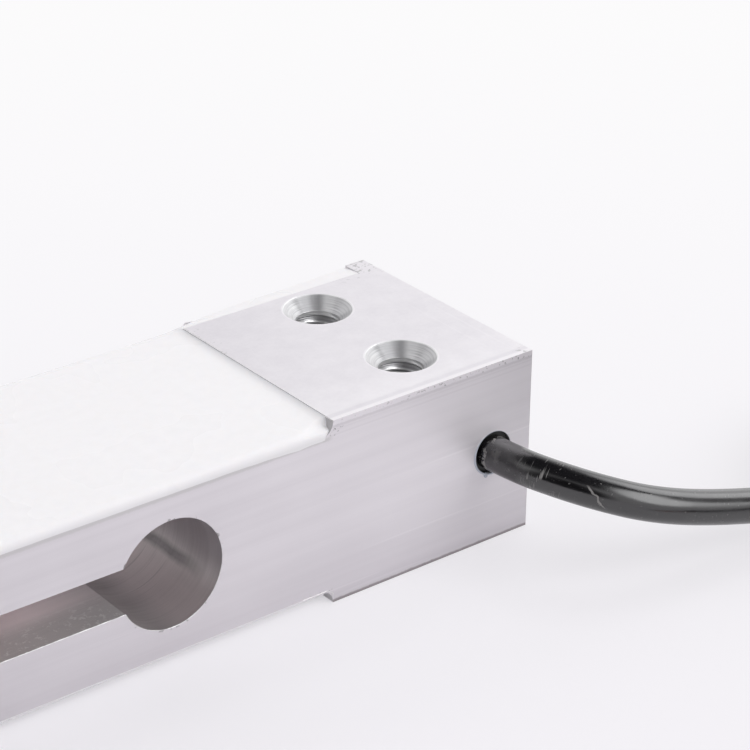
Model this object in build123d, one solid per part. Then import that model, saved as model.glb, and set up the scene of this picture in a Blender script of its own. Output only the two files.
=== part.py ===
"""Single point load cell: one machined aluminium beam with a two-bore flexure, white potted
gauge recesses, foil strain gauges, terminal boards and a four-core cable.

Frame: millimetres, +X along the beam towards the cable end, +Z up. The cable leaves through the
side that faces -Y. The origin is the middle of the underside.
"""
from build123d import *
import math
import os

# Driving dimensions: the beam
beam_length = 130.0
beam_width = 30.0
beam_height = 22.0
edge_break = 0.15

# Driving dimensions: the bare lands at both ends and the gauge recesses between them
land_length = 27.5
recess_depth = 1.7
recess_corner_radius = 1.6

# Driving dimensions: the flexure cut-out
bore_pitch = 34.0
bore_diameter = 12.5
slot_height = 5.3

# Driving dimensions: the threaded fixing holes
bolt_row_from_end = 12.5
bolt_pitch = 15.0
thread_diameter = 6.0
countersink_diameter = 8.0

# Driving dimensions: the cable hole, the wire channel in the far side and the wire hole
cable_hole_diameter = 5.2
cable_hole_from_end = 5.4
channel_depth = 2.6
channel_floor_below_top = 3.6
ramp_centre_before_land = 9.5
ramp_pocket_extra = 1.25
wire_hole_diameter = 3.0
wire_hole_x = 29.0
wire_hole_y = -7.0

# Driving dimensions: the silicone potting
potting_below_land = 0.5
potting_near_shoulder = 0.45
potting_near_round = 1.0
potting_far_slope = 2.0
potting_far_lip = 0.12
potting_corner_radius = 1.6
potting_underside_slope = 1.2
channel_fill_drop = 0.5

# Driving dimensions: the foil strain gauges
gauge_length = 9.0
gauge_width = 5.0
gauge_backing = 0.1
gauge_foil = 0.06
grid_lines = 8
grid_length = 4.6
grid_line_width = 0.2
grid_line_pitch = 0.42
gauge_tab_length = 1.2
gauge_tab_width = 1.4

# Driving dimensions: the terminal boards and what is soldered to them
board_length = 16.0
board_width = 15.5
board_thickness = 0.4
board_offset_y = -1.25
solder_radius = 0.62
solder_height = 0.5
resistor_length = 1.6
resistor_width = 0.8
resistor_height = 0.45
resistor_pitch = 2.6
tab_solder_radius = 0.4
tab_solder_height = 0.36
gauge_lead_diameter = 0.25
link_wire_diameter = 0.4
link_wire_pitch = 0.6

# Driving dimensions: the cable
cable_diameter = 4.0
jacket_inside = 7.0
seal_length = 6.0
seal_below_face = 0.4
core_diameter = 0.9
strand_diameter = 0.4
core_gap = 0.05
cover_under_wire = 0.05
outer_core_inset = 0.55
cable_tilt = 4.0

# Driving dimensions: the put-away coil and the stripped end
coil_radius = 20.0
coil_entry_inset = 1.3
coil_entry_angle = -41.0
tie_thickness = 0.6
tie_width = 2.6
tie_angle = 45.0
sleeve_wall = 0.5
sleeve_over_jacket = 5.5
sleeve_nose = 3.0
free_core_length = 16.0
free_tip_length = 4.0

# Places worked out from the driving dimensions
half_length = beam_length / 2
half_width = beam_width / 2
mid_height = beam_height / 2
land_start_x = half_length - land_length
recess_length = beam_length - 2 * land_length
floor_z = beam_height - recess_depth
plateau_z = beam_height - potting_below_land
bore_x = bore_pitch / 2
bolt_x = half_length - bolt_row_from_end
bolt_y = bolt_pitch / 2
cable_x = half_length - cable_hole_from_end
cable_z = mid_height
channel_inner_y = half_width - channel_depth
channel_floor_z = beam_height - channel_floor_below_top
channel_end_x = cable_x + cable_hole_diameter / 2
cutter_radius = cable_hole_diameter / 2
ramp_x = land_start_x - ramp_centre_before_land
pocket_inner_y = channel_inner_y - ramp_pocket_extra
board_top_z = floor_z + board_thickness
cable_radius = cable_diameter / 2
core_radius = core_diameter / 2
core_step = core_diameter + core_gap
jacket_end_y = -half_width + jacket_inside * 0.98

# The turns of the coil, and the place where the cable joins it
coil_low_z = cable_radius + tie_thickness
coil_outer_radius = coil_radius + cable_radius
coil_inner_radius = coil_radius - cable_radius
coil_top_z = coil_low_z + math.sqrt(3) * cable_radius
coil_x = 113.5
coil_y = -40.0
entry_radius = coil_outer_radius - coil_entry_inset
entry_x = coil_x + entry_radius * math.sin(math.radians(coil_entry_angle))
entry_y = coil_y + entry_radius * math.cos(math.radians(coil_entry_angle))

tilt_x = math.sin(math.radians(cable_tilt))
tilt_y = -math.cos(math.radians(cable_tilt))
cable_exit = (cable_x, -half_width, cable_z)

# The cable from its hole to the coil, corner by corner
lead_in_points = [
    cable_exit,
    (cable_x + 3.2 * tilt_x, -half_width + 3.2 * tilt_y, cable_z),
    (61.1, -22.4, 10.75),
    (64.2, -27.3, 9.85),
    (69.0, -30.9, 8.25),
    (76.9, -32.6, 5.95),
    (89.6, -34.3, coil_low_z + 0.55),
    (entry_x, entry_y, coil_low_z + 0.4),
]
# The cable from the top of the coil to its stripped end, corner by corner
tail_points = [
    (coil_x, coil_y - coil_radius, coil_top_z - 0.65),
    (coil_x - 9.5, coil_y - coil_radius - 0.6, coil_top_z + 1.1),
    (coil_x - 22.0, coil_y - coil_radius - 1.0, cable_radius + sleeve_wall),
    (coil_x - 30.5, coil_y - coil_radius - 0.3, cable_radius + sleeve_wall),
]


def turned_under(shape):
    """A piece of the top recess carried to the bottom one by half a turn about the beam's axis."""
    return Pos(0, 0, beam_height) * Rot(180, 0, 0) * shape


def prism_y(outline, y_from, y_to):
    """An outline of (x, z) corners carried from one y to another."""
    corners = [(x, y_from, z) for x, z in outline]
    face = make_face(Polyline(*corners, close=True))
    return extrude(face, amount=y_to - y_from, dir=(0, 1, 0))


def cylinder_y(x, z, radius, y_from, y_to):
    """A round bar along Y."""
    face = Plane((x, y_from, z), z_dir=(0, 1, 0)) * Circle(radius)
    return extrude(face, amount=y_to - y_from, dir=(0, 1, 0))


def cylinder_between(start, end, radius):
    """A round bar from one point to another."""
    along = Vector(*end) - Vector(*start)
    return extrude(Plane(start, z_dir=along) * Circle(radius), amount=along.length, dir=along)


def corner_radii(points, share=0.45):
    """The largest tangent arc that each corner of a route leaves room for."""
    radii = []
    for before, here, after in zip(points, points[1:], points[2:]):
        run_in = Vector(*here) - Vector(*before)
        run_out = Vector(*after) - Vector(*here)
        half_turn = math.radians(run_in.get_angle(run_out)) / 2
        radii.append(share * min(run_in.length, run_out.length) / math.tan(half_turn))
    return radii


def tube(points, diameter, radii=None, name=None):
    """A round wire or cable along straight runs joined by tangent arcs."""
    if radii is None:
        radii = corner_radii(points)
    path = FilletPolyline(*points, radius=radii)
    start_dir = Vector(*points[1]) - Vector(*points[0])
    section = Plane(points[0], z_dir=start_dir) * Circle(diameter / 2)
    body = sweep(section, path=path)
    if name:
        ideal = math.pi * diameter ** 2 / 4 * path.length
        listed = ", ".join(f"{r:.1f}" for r in radii)
        print(f"{name}: length {path.length:.1f}, radii {listed}")
        print(f"{name}: volume {body.volume:.1f} against {ideal:.1f}")
    return body


def recess_cutter():
    """The top gauge recess: full width, with the cutter's radius where floor meets land."""
    over = recess_corner_radius + 1.0
    block = Box(recess_length, beam_width + 2.0, recess_depth + over, align=(Align.CENTER, Align.CENTER, Align.MIN))
    block = Pos(0, 0, floor_z) * block
    floor_edges = [e for e in block.edges().filter_by(Axis.Y) if abs(e.center().Z - floor_z) < 1e-6]
    return fillet(floor_edges, recess_corner_radius)


def flexure_cutter():
    """Two bores across the beam joined by a slot: what makes the four thin bending sections."""
    reach = half_width + 1.0
    cut = prism_y(
        [(-bore_x, mid_height - slot_height / 2), (bore_x, mid_height - slot_height / 2),
         (bore_x, mid_height + slot_height / 2), (-bore_x, mid_height + slot_height / 2)],
        -reach, reach)
    for side in (-1, 1):
        cut += cylinder_y(side * bore_x, mid_height, bore_diameter / 2, -reach, reach)
    return cut


def bolt_hole_cutter(x, y):
    """A threaded hole right through, opened by a countersink at both faces."""
    depth = (countersink_diameter - thread_diameter) / 2
    r_out = countersink_diameter / 2
    r_in = thread_diameter / 2
    over = 0.5
    outline = Polyline(
        (0, -over), (r_out + over, -over), (r_in, depth),
        (r_in, beam_height - depth), (r_out + over, beam_height + over), (0, beam_height + over), close=True)
    body = revolve(make_face(Plane.XZ * outline), axis=Axis.Z)
    return Pos(x, y, 0) * body


def channel_cutter(y_out):
    """The wire channel in the far side: up from the cable hole, then along the top edge to the
    recess, where it ends in a ramp of the cutter's own radius."""
    top = beam_height + 1.0
    upright = prism_y(
        [(cable_x - cutter_radius, cable_z), (channel_end_x, cable_z), (channel_end_x, top),
         (cable_x - cutter_radius, top)], channel_inner_y, y_out)
    foot = cylinder_y(cable_x, cable_z, cutter_radius, channel_inner_y, y_out)
    along = prism_y(
        [(land_start_x, channel_floor_z), (channel_end_x, channel_floor_z), (channel_end_x, top),
         (land_start_x, top)], channel_inner_y, y_out)
    pocket = prism_y(
        [(ramp_x, channel_floor_z), (land_start_x, channel_floor_z), (land_start_x, floor_z + cutter_radius),
         (ramp_x, floor_z + cutter_radius)], pocket_inner_y, y_out)
    ramp = cylinder_y(ramp_x, channel_floor_z + cutter_radius, cutter_radius, pocket_inner_y, y_out)
    return upright + foot + along + pocket + ramp


def make_beam():
    """The one machined piece that bends, with every hole and recess cut into it."""
    body = Box(beam_length, beam_width, beam_height, align=(Align.CENTER, Align.CENTER, Align.MIN))
    body = chamfer(body.edges().filter_by(Axis.Z) + body.edges().filter_by(Axis.Y), edge_break)
    body -= recess_cutter()
    body -= turned_under(recess_cutter())
    body -= flexure_cutter()
    for side_x in (-1, 1):
        for side_y in (-1, 1):
            body -= bolt_hole_cutter(side_x * bolt_x, side_y * bolt_y)
    body -= cylinder_y(cable_x, cable_z, cable_hole_diameter / 2, -half_width - 1.0, channel_inner_y + 0.01)
    body -= channel_cutter(half_width + 1.0)
    body -= Pos(wire_hole_x, wire_hole_y, mid_height) * Cylinder(wire_hole_diameter / 2, beam_height)
    return body


def recess_body():
    """The space of the top recess below the lands, with its two rounded inner corners."""
    lid = Pos(0, 0, beam_height) * Box(
        recess_length + 10, beam_width + 10, 10.0, align=(Align.CENTER, Align.CENTER, Align.MIN))
    return recess_cutter() - lid


def potting_plan():
    """The potting seen from above: square on the far side, with rounded near corners."""
    block = Pos(0, 0, floor_z) * Box(
        recess_length, beam_width, recess_depth, align=(Align.CENTER, Align.CENTER, Align.MIN))
    near_corners = [e for e in block.edges().filter_by(Axis.Z) if e.center().Y < 0]
    return fillet(near_corners, potting_corner_radius)


def poured(profile):
    """Silicone of one section over the whole length of the top recess."""
    return extrude(make_face(profile), amount=recess_length / 2, dir=(1, 0, 0), both=True) & potting_plan()


def recess_pour():
    """The top pour: a steep near wall with a rounded shoulder, a level top a little under the
    lands and a long slope to the far edge."""
    near = -half_width
    far = half_width
    shoulder_z = plateau_z - potting_near_shoulder
    corner = (0, near, shoulder_z)
    crest = (0, near + potting_near_round, plateau_z)
    bulge = (0, near + potting_near_round * 0.3, plateau_z - potting_near_shoulder * 0.35)
    slope_start = (0, far - potting_far_slope, plateau_z)
    lip = (0, far, floor_z + potting_far_lip)
    return poured([
        Line((0, near, floor_z), corner),
        ThreePointArc(corner, bulge, crest),
        Line(crest, slope_start),
        Line(slope_start, lip),
        Line(lip, (0, far, floor_z)),
        Line((0, far, floor_z), (0, near, floor_z)),
    ])


def channel_pour():
    """Silicone in the wire channel, its top falling off towards the far side."""
    over = 5.0
    low_z = beam_height - channel_fill_drop
    lid = extrude(
        make_face(Polyline(
            (0, channel_inner_y - over, beam_height), (0, channel_inner_y, beam_height),
            (0, half_width, low_z), (0, half_width + over, low_z),
            (0, half_width + over, beam_height + over), (0, channel_inner_y - over, beam_height + over),
            close=True)),
        amount=beam_length, dir=(1, 0, 0), both=True)
    over_recess = Pos(0, 0, floor_z) * Box(
        recess_length, beam_width + 2.0, 10.0, align=(Align.CENTER, Align.CENTER, Align.MIN))
    return channel_cutter(half_width) - lid - over_recess


def without(body, inner_pieces):
    """Silicone with the space of every piece that is set in it taken out."""
    for piece in inner_pieces:
        for solid in piece.solids():
            body -= solid
    return body


def make_top_potting(inner_pieces):
    """White silicone over the top gauges and in the wire channel, one pour."""
    cavity = recess_body() + channel_cutter(half_width)
    return without((recess_pour() & cavity) + channel_pour(), inner_pieces)


def make_bottom_potting(inner_pieces):
    """White silicone over the bottom gauges, kept clear of what the cell stands on."""
    near = -half_width
    far = half_width
    slope = potting_underside_slope
    lip_z = floor_z + potting_far_lip
    body = poured(Polyline(
        (0, near, floor_z), (0, near, lip_z), (0, near + slope, plateau_z),
        (0, far - slope, plateau_z), (0, far, lip_z), (0, far, floor_z), close=True))
    return without(turned_under(body & recess_body()), inner_pieces)


def make_gauge(centre_x, towards):
    """A foil gauge bonded over one thin section: backing film, folded grid and two solder tabs.
    towards is the sign of X on which the tabs lie."""
    foil_z = floor_z + gauge_backing
    backing = Pos(centre_x, 0, floor_z) * Box(
        gauge_length, gauge_width, gauge_backing, align=(Align.CENTER, Align.CENTER, Align.MIN))
    backing = fillet(backing.edges().filter_by(Axis.Z), gauge_width * 0.08)
    grid_x = centre_x - towards * (gauge_tab_length / 2 + grid_line_width)
    first_y = -grid_line_pitch * (grid_lines - 1) / 2
    foil = None
    for k in range(grid_lines):
        y = first_y + k * grid_line_pitch
        line = Pos(grid_x, y, foil_z) * Box(
            grid_length, grid_line_width, gauge_foil, align=(Align.CENTER, Align.CENTER, Align.MIN))
        foil = line if foil is None else foil + line
        if k < grid_lines - 1:
            end = towards if k % 2 else -towards
            loop_x = grid_x + end * (grid_length / 2 - grid_line_width / 2)
            foil += Pos(loop_x, y + grid_line_pitch / 2, foil_z) * Box(
                grid_line_width, grid_line_pitch, gauge_foil, align=(Align.CENTER, Align.CENTER, Align.MIN))
    for side in (-1, 1):
        foil += Pos(*gauge_tab(centre_x, towards, side)[:2], foil_z) * Box(
            gauge_tab_length, gauge_tab_width, gauge_foil, align=(Align.CENTER, Align.CENTER, Align.MIN))
    return backing + foil


def gauge_tab(centre_x, towards, side):
    """Middle of a gauge's solder tab, at the top of the foil."""
    grid_end = grid_length / 2 + gauge_tab_length / 2 + grid_line_width
    x = centre_x + towards * (grid_end - gauge_tab_length / 2 - grid_line_width)
    y = side * grid_line_pitch * (grid_lines - 1) / 2
    y -= side * (gauge_tab_width - grid_line_width) / 2
    return (x, y, floor_z + gauge_backing + gauge_foil)


def make_board(centre_y):
    """The terminal board, glued to the recess floor between the gauges."""
    board = Pos(0, centre_y, floor_z) * Box(
        board_length, board_width, board_thickness, align=(Align.CENTER, Align.CENTER, Align.MIN))
    return fillet(board.edges().filter_by(Axis.Z), board_thickness)


def make_resistors():
    """Two trimming resistors in the middle of a terminal board."""
    group = []
    for side in (-1, 1):
        chip = Pos(side * resistor_pitch / 2, board_offset_y, board_top_z) * Box(
            resistor_width, resistor_length, resistor_height, align=(Align.CENTER, Align.CENTER, Align.MIN))
        group.append(chamfer(chip.faces().sort_by(Axis.Z)[-1].edges(), resistor_height * 0.15))
    return Compound(group)


def gauge_lead_route(towards, side):
    """A gauge lead from its tab, along the floor and up onto the board."""
    tab_x, tab_y, tab_z = gauge_tab(-towards * bore_x, towards, side)
    radius = gauge_lead_diameter / 2
    edge_x = -towards * board_length / 2
    low = tab_z + cover_under_wire + radius
    high = board_top_z + cover_under_wire + radius
    return [
        (tab_x, tab_y, low),
        (edge_x - towards * 1.6, tab_y, low),
        (edge_x - towards * 0.7, tab_y, high),
        (edge_x + towards * 1.6, tab_y, high),
    ]


def make_gauge_leads():
    """The four short leads between the two gauges of a recess and its board."""
    leads = []
    for towards in (-1, 1):
        for side in (-1, 1):
            leads.append(tube(gauge_lead_route(towards, side), gauge_lead_diameter))
    return Compound(leads)


def link_wire_end(index, centre_y):
    """The end on the board of one of the four wires that join the two boards."""
    y = centre_y + (index - 1.5) * link_wire_pitch
    z = board_top_z + cover_under_wire + link_wire_diameter / 2
    return (board_length / 2 - 1.6, y, z)


def make_link_wires():
    """Four enamelled wires from the top board, down through the wire hole, to the bottom board."""
    on_floor = floor_z + cover_under_wire + link_wire_diameter / 2
    wires = []
    for index in range(4):
        start = link_wire_end(index, wire_hole_y)
        y = start[1]
        upper = [
            start,
            (board_length / 2 + 0.8, y, start[2]),
            (board_length / 2 + 2.0, y, on_floor),
            (wire_hole_x, y, on_floor),
        ]
        lower = [(x, y_here, beam_height - z) for x, y_here, z in reversed(upper)]
        wires.append(tube(upper + lower, link_wire_diameter, radii=[0.6] * 6))
    return Compound(wires)


def core_lane(index):
    """Where one of the four cable cores lies: its place in the cable hole, its column and row in
    the wire channel, and its lane and turning point beside the terminal board."""
    right = index % 2
    low = index // 2
    hole_x = cable_x + (right - 0.5) * core_step
    hole_z = cable_z + (0.5 - low) * core_step
    column = channel_inner_y + core_gap + core_radius + low * core_step
    row = channel_floor_z + core_gap + core_radius + right * core_step
    order = 2 * low + 1 - right
    lane = board_edge_y() + 1.3 + core_radius + order * core_step
    turn_x = board_length / 2 - 2.0 - order * 3.5
    return hole_x, hole_z, column, row, order, lane, turn_x


def board_edge_y():
    """The edge of the terminal board on the side where the cores arrive."""
    return board_offset_y + board_width / 2


def core_route(index):
    """One core from the end of the jacket, through the wire channel, to its place by the board.
    The upper cores of the channel rise first, so that no core crosses another."""
    hole_x, hole_z, column, row, order, lane, turn_x = core_lane(index)
    in_recess = floor_z + cover_under_wire + core_radius
    rise_x = land_start_x - 1.0 - order * 2.5
    level_x = rise_x - (in_recess - row) * 1.5
    level_y = column - outer_core_inset * (index // 2)
    return [
        (hole_x, jacket_end_y, hole_z),
        (hole_x, column, hole_z),
        (hole_x, column, row),
        (rise_x, column, row),
        (level_x, level_y, in_recess),
        (level_x - 5.0, lane, in_recess),
        (turn_x, lane, in_recess),
        (turn_x, core_end_y(), in_recess),
    ]


def core_end_y():
    """Where a core's insulation stops, just short of the terminal board."""
    return board_edge_y() + 0.5


def make_core(index):
    """One insulated core inside the cell."""
    points = core_route(index)
    radii = [min(r, 1.1) for r in corner_radii(points)]
    return tube(points, core_diameter, radii=radii)


def strand_ends(index):
    """The bare end of a core, from its insulation onto the board."""
    turn_x = core_lane(index)[6]
    z = board_top_z + cover_under_wire + strand_diameter / 2
    return (turn_x, core_end_y(), z), (turn_x, board_edge_y() - 1.6, z)


def make_strands():
    """The bare ends of the four cores on the top board."""
    return Compound([cylinder_between(*strand_ends(index), strand_diameter / 2) for index in range(4)])


def solder_joint(x, y, z, radius, height):
    """A dome of solder."""
    bulge = (radius ** 2 + height ** 2) / (2 * height)
    side = radius * 0.75
    rise = height - bulge + math.sqrt(bulge ** 2 - side ** 2)
    section = make_face([
        ThreePointArc((radius, 0), (side, rise), (0, height)),
        Line((0, height), (0, 0)),
        Line((0, 0), (radius, 0)),
    ])
    return Pos(x, y, z) * revolve(Plane.XZ * section, axis=Axis.Z)


def lead_bar(points, diameter):
    """The straight end of a wire, as solder forms round it."""
    last = Vector(*points[-1])
    along = (last - Vector(*points[-2])).normalized()
    return cylinder_between(tuple(last - along * 2 * solder_radius), tuple(last), diameter / 2)


def make_solder(with_cores, link_y):
    """The solder joints of one recess, each formed round the wire that it holds."""
    joints = []
    for towards in (-1, 1):
        for side in (-1, 1):
            route = gauge_lead_route(towards, side)
            x, y, _ = route[-1]
            joint = solder_joint(x, y, board_top_z, solder_radius, solder_height)
            joints.append(joint - lead_bar(route, gauge_lead_diameter))
            x, y, z = gauge_tab(-towards * bore_x, towards, side)
            joint = solder_joint(x, y, z, tab_solder_radius, tab_solder_height)
            joints.append(joint - lead_bar(route[::-1], gauge_lead_diameter))
    if with_cores:
        for index in range(4):
            start, end = strand_ends(index)
            joint = solder_joint(end[0], end[1], board_top_z, solder_radius, solder_height)
            joints.append(joint - cylinder_between(start, end, strand_diameter / 2))
    for index in range(4):
        wire_end = link_wire_end(index, link_y)
        pad = Pos(wire_end[0], wire_end[1], board_top_z) * Box(
            link_wire_pitch * 1.6, link_wire_pitch, solder_height, align=(Align.CENTER, Align.CENTER, Align.MIN))
        pad = chamfer(pad.faces().sort_by(Axis.Z)[-1].edges(), link_wire_pitch * 0.12)
        far = (wire_end[0] + 1.0, wire_end[1], wire_end[2])
        joints.append(pad - cylinder_between(wire_end, far, link_wire_diameter / 2))
    return Compound([solid for joint in joints for solid in joint.solids()])


def make_cable_inside():
    """The end of the jacketed cable that is held in the beam."""
    inner = (cable_x - jacket_inside * tilt_x, -half_width - jacket_inside * tilt_y, cable_z)
    body = cylinder_between(cable_exit, inner, cable_radius)
    square_off = Pos(cable_x, jacket_end_y, cable_z) * Box(
        3 * cable_diameter, cable_diameter, 3 * cable_diameter, align=(Align.CENTER, Align.MIN, Align.CENTER))
    return body - square_off


def make_cable_seal(jacket):
    """Black sealant between the cable and its hole, a little below the face of the beam."""
    y_from = -half_width + seal_below_face
    return cylinder_y(cable_x, cable_z, cable_hole_diameter / 2, y_from, y_from + seal_length) - jacket


def coil_section(radius):
    """The outline round three turns of the coil: two on the surface and one in the valley."""
    rounds = []
    for r, z in ((coil_inner_radius, coil_low_z), (coil_outer_radius, coil_low_z), (coil_radius, coil_top_z)):
        rounds += (Pos(r, z) * Circle(radius)).edges()
    return Plane.XZ * make_hull(rounds)


def coil_centre_axis():
    """The upright axis of the coil, as it stands before it is moved into place."""
    return Axis((0, 0, 0), (0, 0, 1))


def make_coil():
    """The put-away length of the cable as one ring of the outer shape of its turns."""
    return Pos(coil_x, coil_y, 0) * revolve(coil_section(cable_radius), axis=coil_centre_axis())


def make_tie():
    """The nylon tie round the coil, with its head on the outer side."""
    angle = math.degrees(tie_width / coil_radius)
    band = revolve(coil_section(cable_radius + tie_thickness), axis=coil_centre_axis(), revolution_arc=angle)
    band -= revolve(coil_section(cable_radius), axis=coil_centre_axis())
    band = Rot(0, 0, -angle / 2) * band
    head_x = coil_outer_radius + cable_radius + tie_thickness
    head = Pos(head_x - 0.3, 0, coil_low_z + 0.2) * Box(
        2.6, tie_width + 1.6, 3.6, align=(Align.MIN, Align.CENTER, Align.CENTER))
    head = fillet(head.edges().filter_by(Axis.Z), 0.5)
    stub = Pos(head_x + 0.8, 0, coil_low_z + 2.0) * Box(
        0.9, tie_width - 0.4, 1.6, align=(Align.CENTER, Align.CENTER, Align.MIN))
    body = band + head + stub
    body -= revolve(coil_section(cable_radius), axis=coil_centre_axis())
    return Pos(coil_x, coil_y, 0) * Rot(0, 0, tie_angle) * body


def make_lead_in(coil):
    """The cable between its hole and the coil."""
    body = tube(lead_in_points, cable_diameter, name="cable")
    return body - coil


def make_tail(coil):
    """The cable between the coil and its stripped end."""
    body = tube(tail_points, cable_diameter, corner_radii(tail_points, 0.35), "cable_tail")
    return body - coil


def tail_frame():
    """The plane across the cable's free end: its z direction runs on along the cable."""
    along = Vector(*tail_points[-1]) - Vector(*tail_points[-2])
    along = Vector(along.X, along.Y, 0).normalized()
    return Plane(tail_points[-1], x_dir=Vector(-along.Y, along.X, 0), z_dir=along)


def make_end_sleeve():
    """Shrink sleeve over the end of the jacket, closed round the cores."""
    end = tail_frame()
    outer = cable_radius + sleeve_wall
    nose = cable_radius * 0.8
    outline = Polyline(
        (cable_radius, -sleeve_over_jacket), (outer - 0.1, -sleeve_over_jacket), (outer, -sleeve_over_jacket + 0.4),
        (outer, 0), (nose, sleeve_nose), (0, sleeve_nose), (0, 0), (cable_radius, 0), close=True)
    body = revolve(make_face(Plane.XZ * outline), axis=Axis.Z)
    return end.location * body


def free_core_start(index, order_radius=0.95):
    """Where one of five wires leaves the sleeve, side by side in a ring."""
    angle = math.radians((200, 125, 270, 55, -20)[index])
    return order_radius * math.cos(angle), order_radius * math.sin(angle)


def free_core_route(index):
    """A free core from the sleeve down to the surface, spread a little from its neighbours."""
    end = tail_frame()
    side, up = free_core_start(index)
    spread = index - 2.0
    rest = core_radius - cable_radius - sleeve_wall
    local = [
        (side, up, sleeve_nose),
        (side, up, sleeve_nose + 1.5),
        (1.1 * spread + 0.2, (up + rest) / 2, sleeve_nose + 5.5),
        (1.3 * spread, rest + 0.1, sleeve_nose + 9.5),
        (1.5 * spread + 0.2, rest, sleeve_nose + free_core_length - 2.5),
    ]
    return [tuple(end.from_local_coords(point)) for point in local]


def make_free_core(index):
    """One insulated core beyond the sleeve, or the bare twisted shield."""
    return tube(free_core_route(index), core_diameter)


def make_core_tips():
    """The tinned ends of the four insulated cores."""
    tips = []
    for index in (0, 1, 3, 4):
        points = free_core_route(index)
        end = Vector(*points[-1])
        along = (end - Vector(*points[-2])).normalized()
        tips.append(cylinder_between(tuple(end), tuple(end + along * free_tip_length), strand_diameter / 2))
    return Compound(tips)


def build_pieces():
    """Every piece of the load cell by its node's name."""
    top = {
        "gauge_top_cable_end": make_gauge(bore_x, -1),
        "gauge_top_free_end": make_gauge(-bore_x, 1),
        "terminal_board_top": make_board(board_offset_y),
        "trim_resistors": make_resistors(),
        "gauge_leads_top": make_gauge_leads(),
        "link_wires": make_link_wires(),
        "core_strands": make_strands(),
        "solder_joints_top": make_solder(True, wire_hole_y),
    }
    for index, colour in enumerate(("red", "black", "green", "white")):
        top[f"inner_core_{colour}"] = make_core(index)
    bottom = {
        "gauge_bottom_cable_end": turned_under(make_gauge(bore_x, -1)),
        "gauge_bottom_free_end": turned_under(make_gauge(-bore_x, 1)),
        "terminal_board_bottom": turned_under(make_board(-board_offset_y)),
        "gauge_leads_bottom": turned_under(make_gauge_leads()),
        "solder_joints_bottom": turned_under(make_solder(False, -wire_hole_y)),
    }
    coil = make_coil()
    jacket = make_cable_inside()

    pieces = {"beam": make_beam()}
    pieces.update(top)
    pieces.update(bottom)
    pieces["top_potting"] = make_top_potting(top.values())
    pieces["bottom_potting"] = make_bottom_potting([*bottom.values(), top["link_wires"]])
    pieces["cable_inside"] = jacket
    pieces["cable_seal"] = make_cable_seal(jacket)
    pieces["cable"] = make_lead_in(coil)
    pieces["cable_coil"] = coil
    pieces["cable_tie"] = make_tie()
    pieces["cable_tail"] = make_tail(coil)
    pieces["end_sleeve"] = make_end_sleeve()
    for index, name in enumerate(("free_core_red", "free_core_black", "shield_wire", "free_core_green",
                                  "free_core_white")):
        pieces[name] = make_free_core(index)
    pieces["core_tips"] = make_core_tips()
    return pieces


def main():
    os.makedirs("parts", exist_ok=True)
    for name, shape in build_pieces().items():
        export_step(shape, f"parts/{name}.step")
        print(f"{name}: {len(shape.solids())} solid(s), {shape.volume:.2f} mm3")


main()
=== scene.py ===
"""Single point load cell: looks, studio and camera.

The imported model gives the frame, in metres: +X along the beam towards the cable end, +Z up, the cable
side faces -Y, and the origin is the middle of the underside. Sizes below are in millimetres times MM.
"""
import bmesh
import bpy
import math
import numpy as np
from mathutils import Matrix, Vector


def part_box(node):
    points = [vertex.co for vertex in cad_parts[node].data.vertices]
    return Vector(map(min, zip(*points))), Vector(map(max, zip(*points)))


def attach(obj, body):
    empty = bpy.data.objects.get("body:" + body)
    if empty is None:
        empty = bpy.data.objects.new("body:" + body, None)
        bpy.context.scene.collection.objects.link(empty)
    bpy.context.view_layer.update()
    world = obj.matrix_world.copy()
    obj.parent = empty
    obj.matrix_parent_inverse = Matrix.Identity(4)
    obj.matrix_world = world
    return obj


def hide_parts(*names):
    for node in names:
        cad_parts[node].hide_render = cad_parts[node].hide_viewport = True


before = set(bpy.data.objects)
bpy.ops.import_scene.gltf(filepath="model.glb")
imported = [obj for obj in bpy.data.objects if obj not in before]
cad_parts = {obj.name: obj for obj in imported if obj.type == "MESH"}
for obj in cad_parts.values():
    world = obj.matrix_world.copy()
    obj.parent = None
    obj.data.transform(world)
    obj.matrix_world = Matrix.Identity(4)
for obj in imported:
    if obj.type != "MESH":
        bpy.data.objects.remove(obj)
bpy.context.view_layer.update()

MM = 0.001

# The beam, as the frame has it
beam_low, beam_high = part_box("beam")
HALF_LENGTH = beam_high[0]
HALF_WIDTH = beam_high[1]
HEIGHT = beam_high[2]
MID_HEIGHT = HEIGHT / 2
LAND_LENGTH = 27.5 * MM
LAND_START = HALF_LENGTH - LAND_LENGTH
RECESS_DEPTH = 1.7 * MM
FLOOR_Z = HEIGHT - RECESS_DEPTH

# Flexure bores, slot, tapped holes and cable hole
BORE_X = 17.0 * MM
BORE_RADIUS = 6.25 * MM
SLOT_HEIGHT = 5.3 * MM
BOLT_X = 52.5 * MM
BOLT_Y = 7.5 * MM
THREAD_OUTER = 3.0 * MM
THREAD_INNER = 2.52 * MM
THREAD_PITCH = 1.0 * MM
SINK_RADIUS = 4.0 * MM
CABLE_X = 59.6 * MM
CABLE_HOLE_RADIUS = 2.6 * MM
CHANNEL_INNER_Y = 12.4 * MM

# The cable
CABLE_DIAMETER = 4.0 * MM
CABLE_RADIUS = CABLE_DIAMETER / 2
COIL_RADIUS = 20.0 * MM
COIL_LOW_Z = 2.6 * MM
COIL_TOP_Z = COIL_LOW_Z + math.sqrt(3) * CABLE_RADIUS
COIL_X = 113.5 * MM
COIL_Y = -40.0 * MM
COIL_ENTRY = -41.0
CABLE_TILT = math.radians(4.0)

# The photograph's view
LENS = 125.7
CAMERA_PLACE = Vector((-108.12, -205.27, 148.18)) * MM
CAMERA_AZIMUTH = math.radians(-38.45)
CAMERA_ELEVATION = math.radians(26.77)
CAMERA_ROLL = math.radians(0.552)


# ---- Mesh helpers

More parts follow.
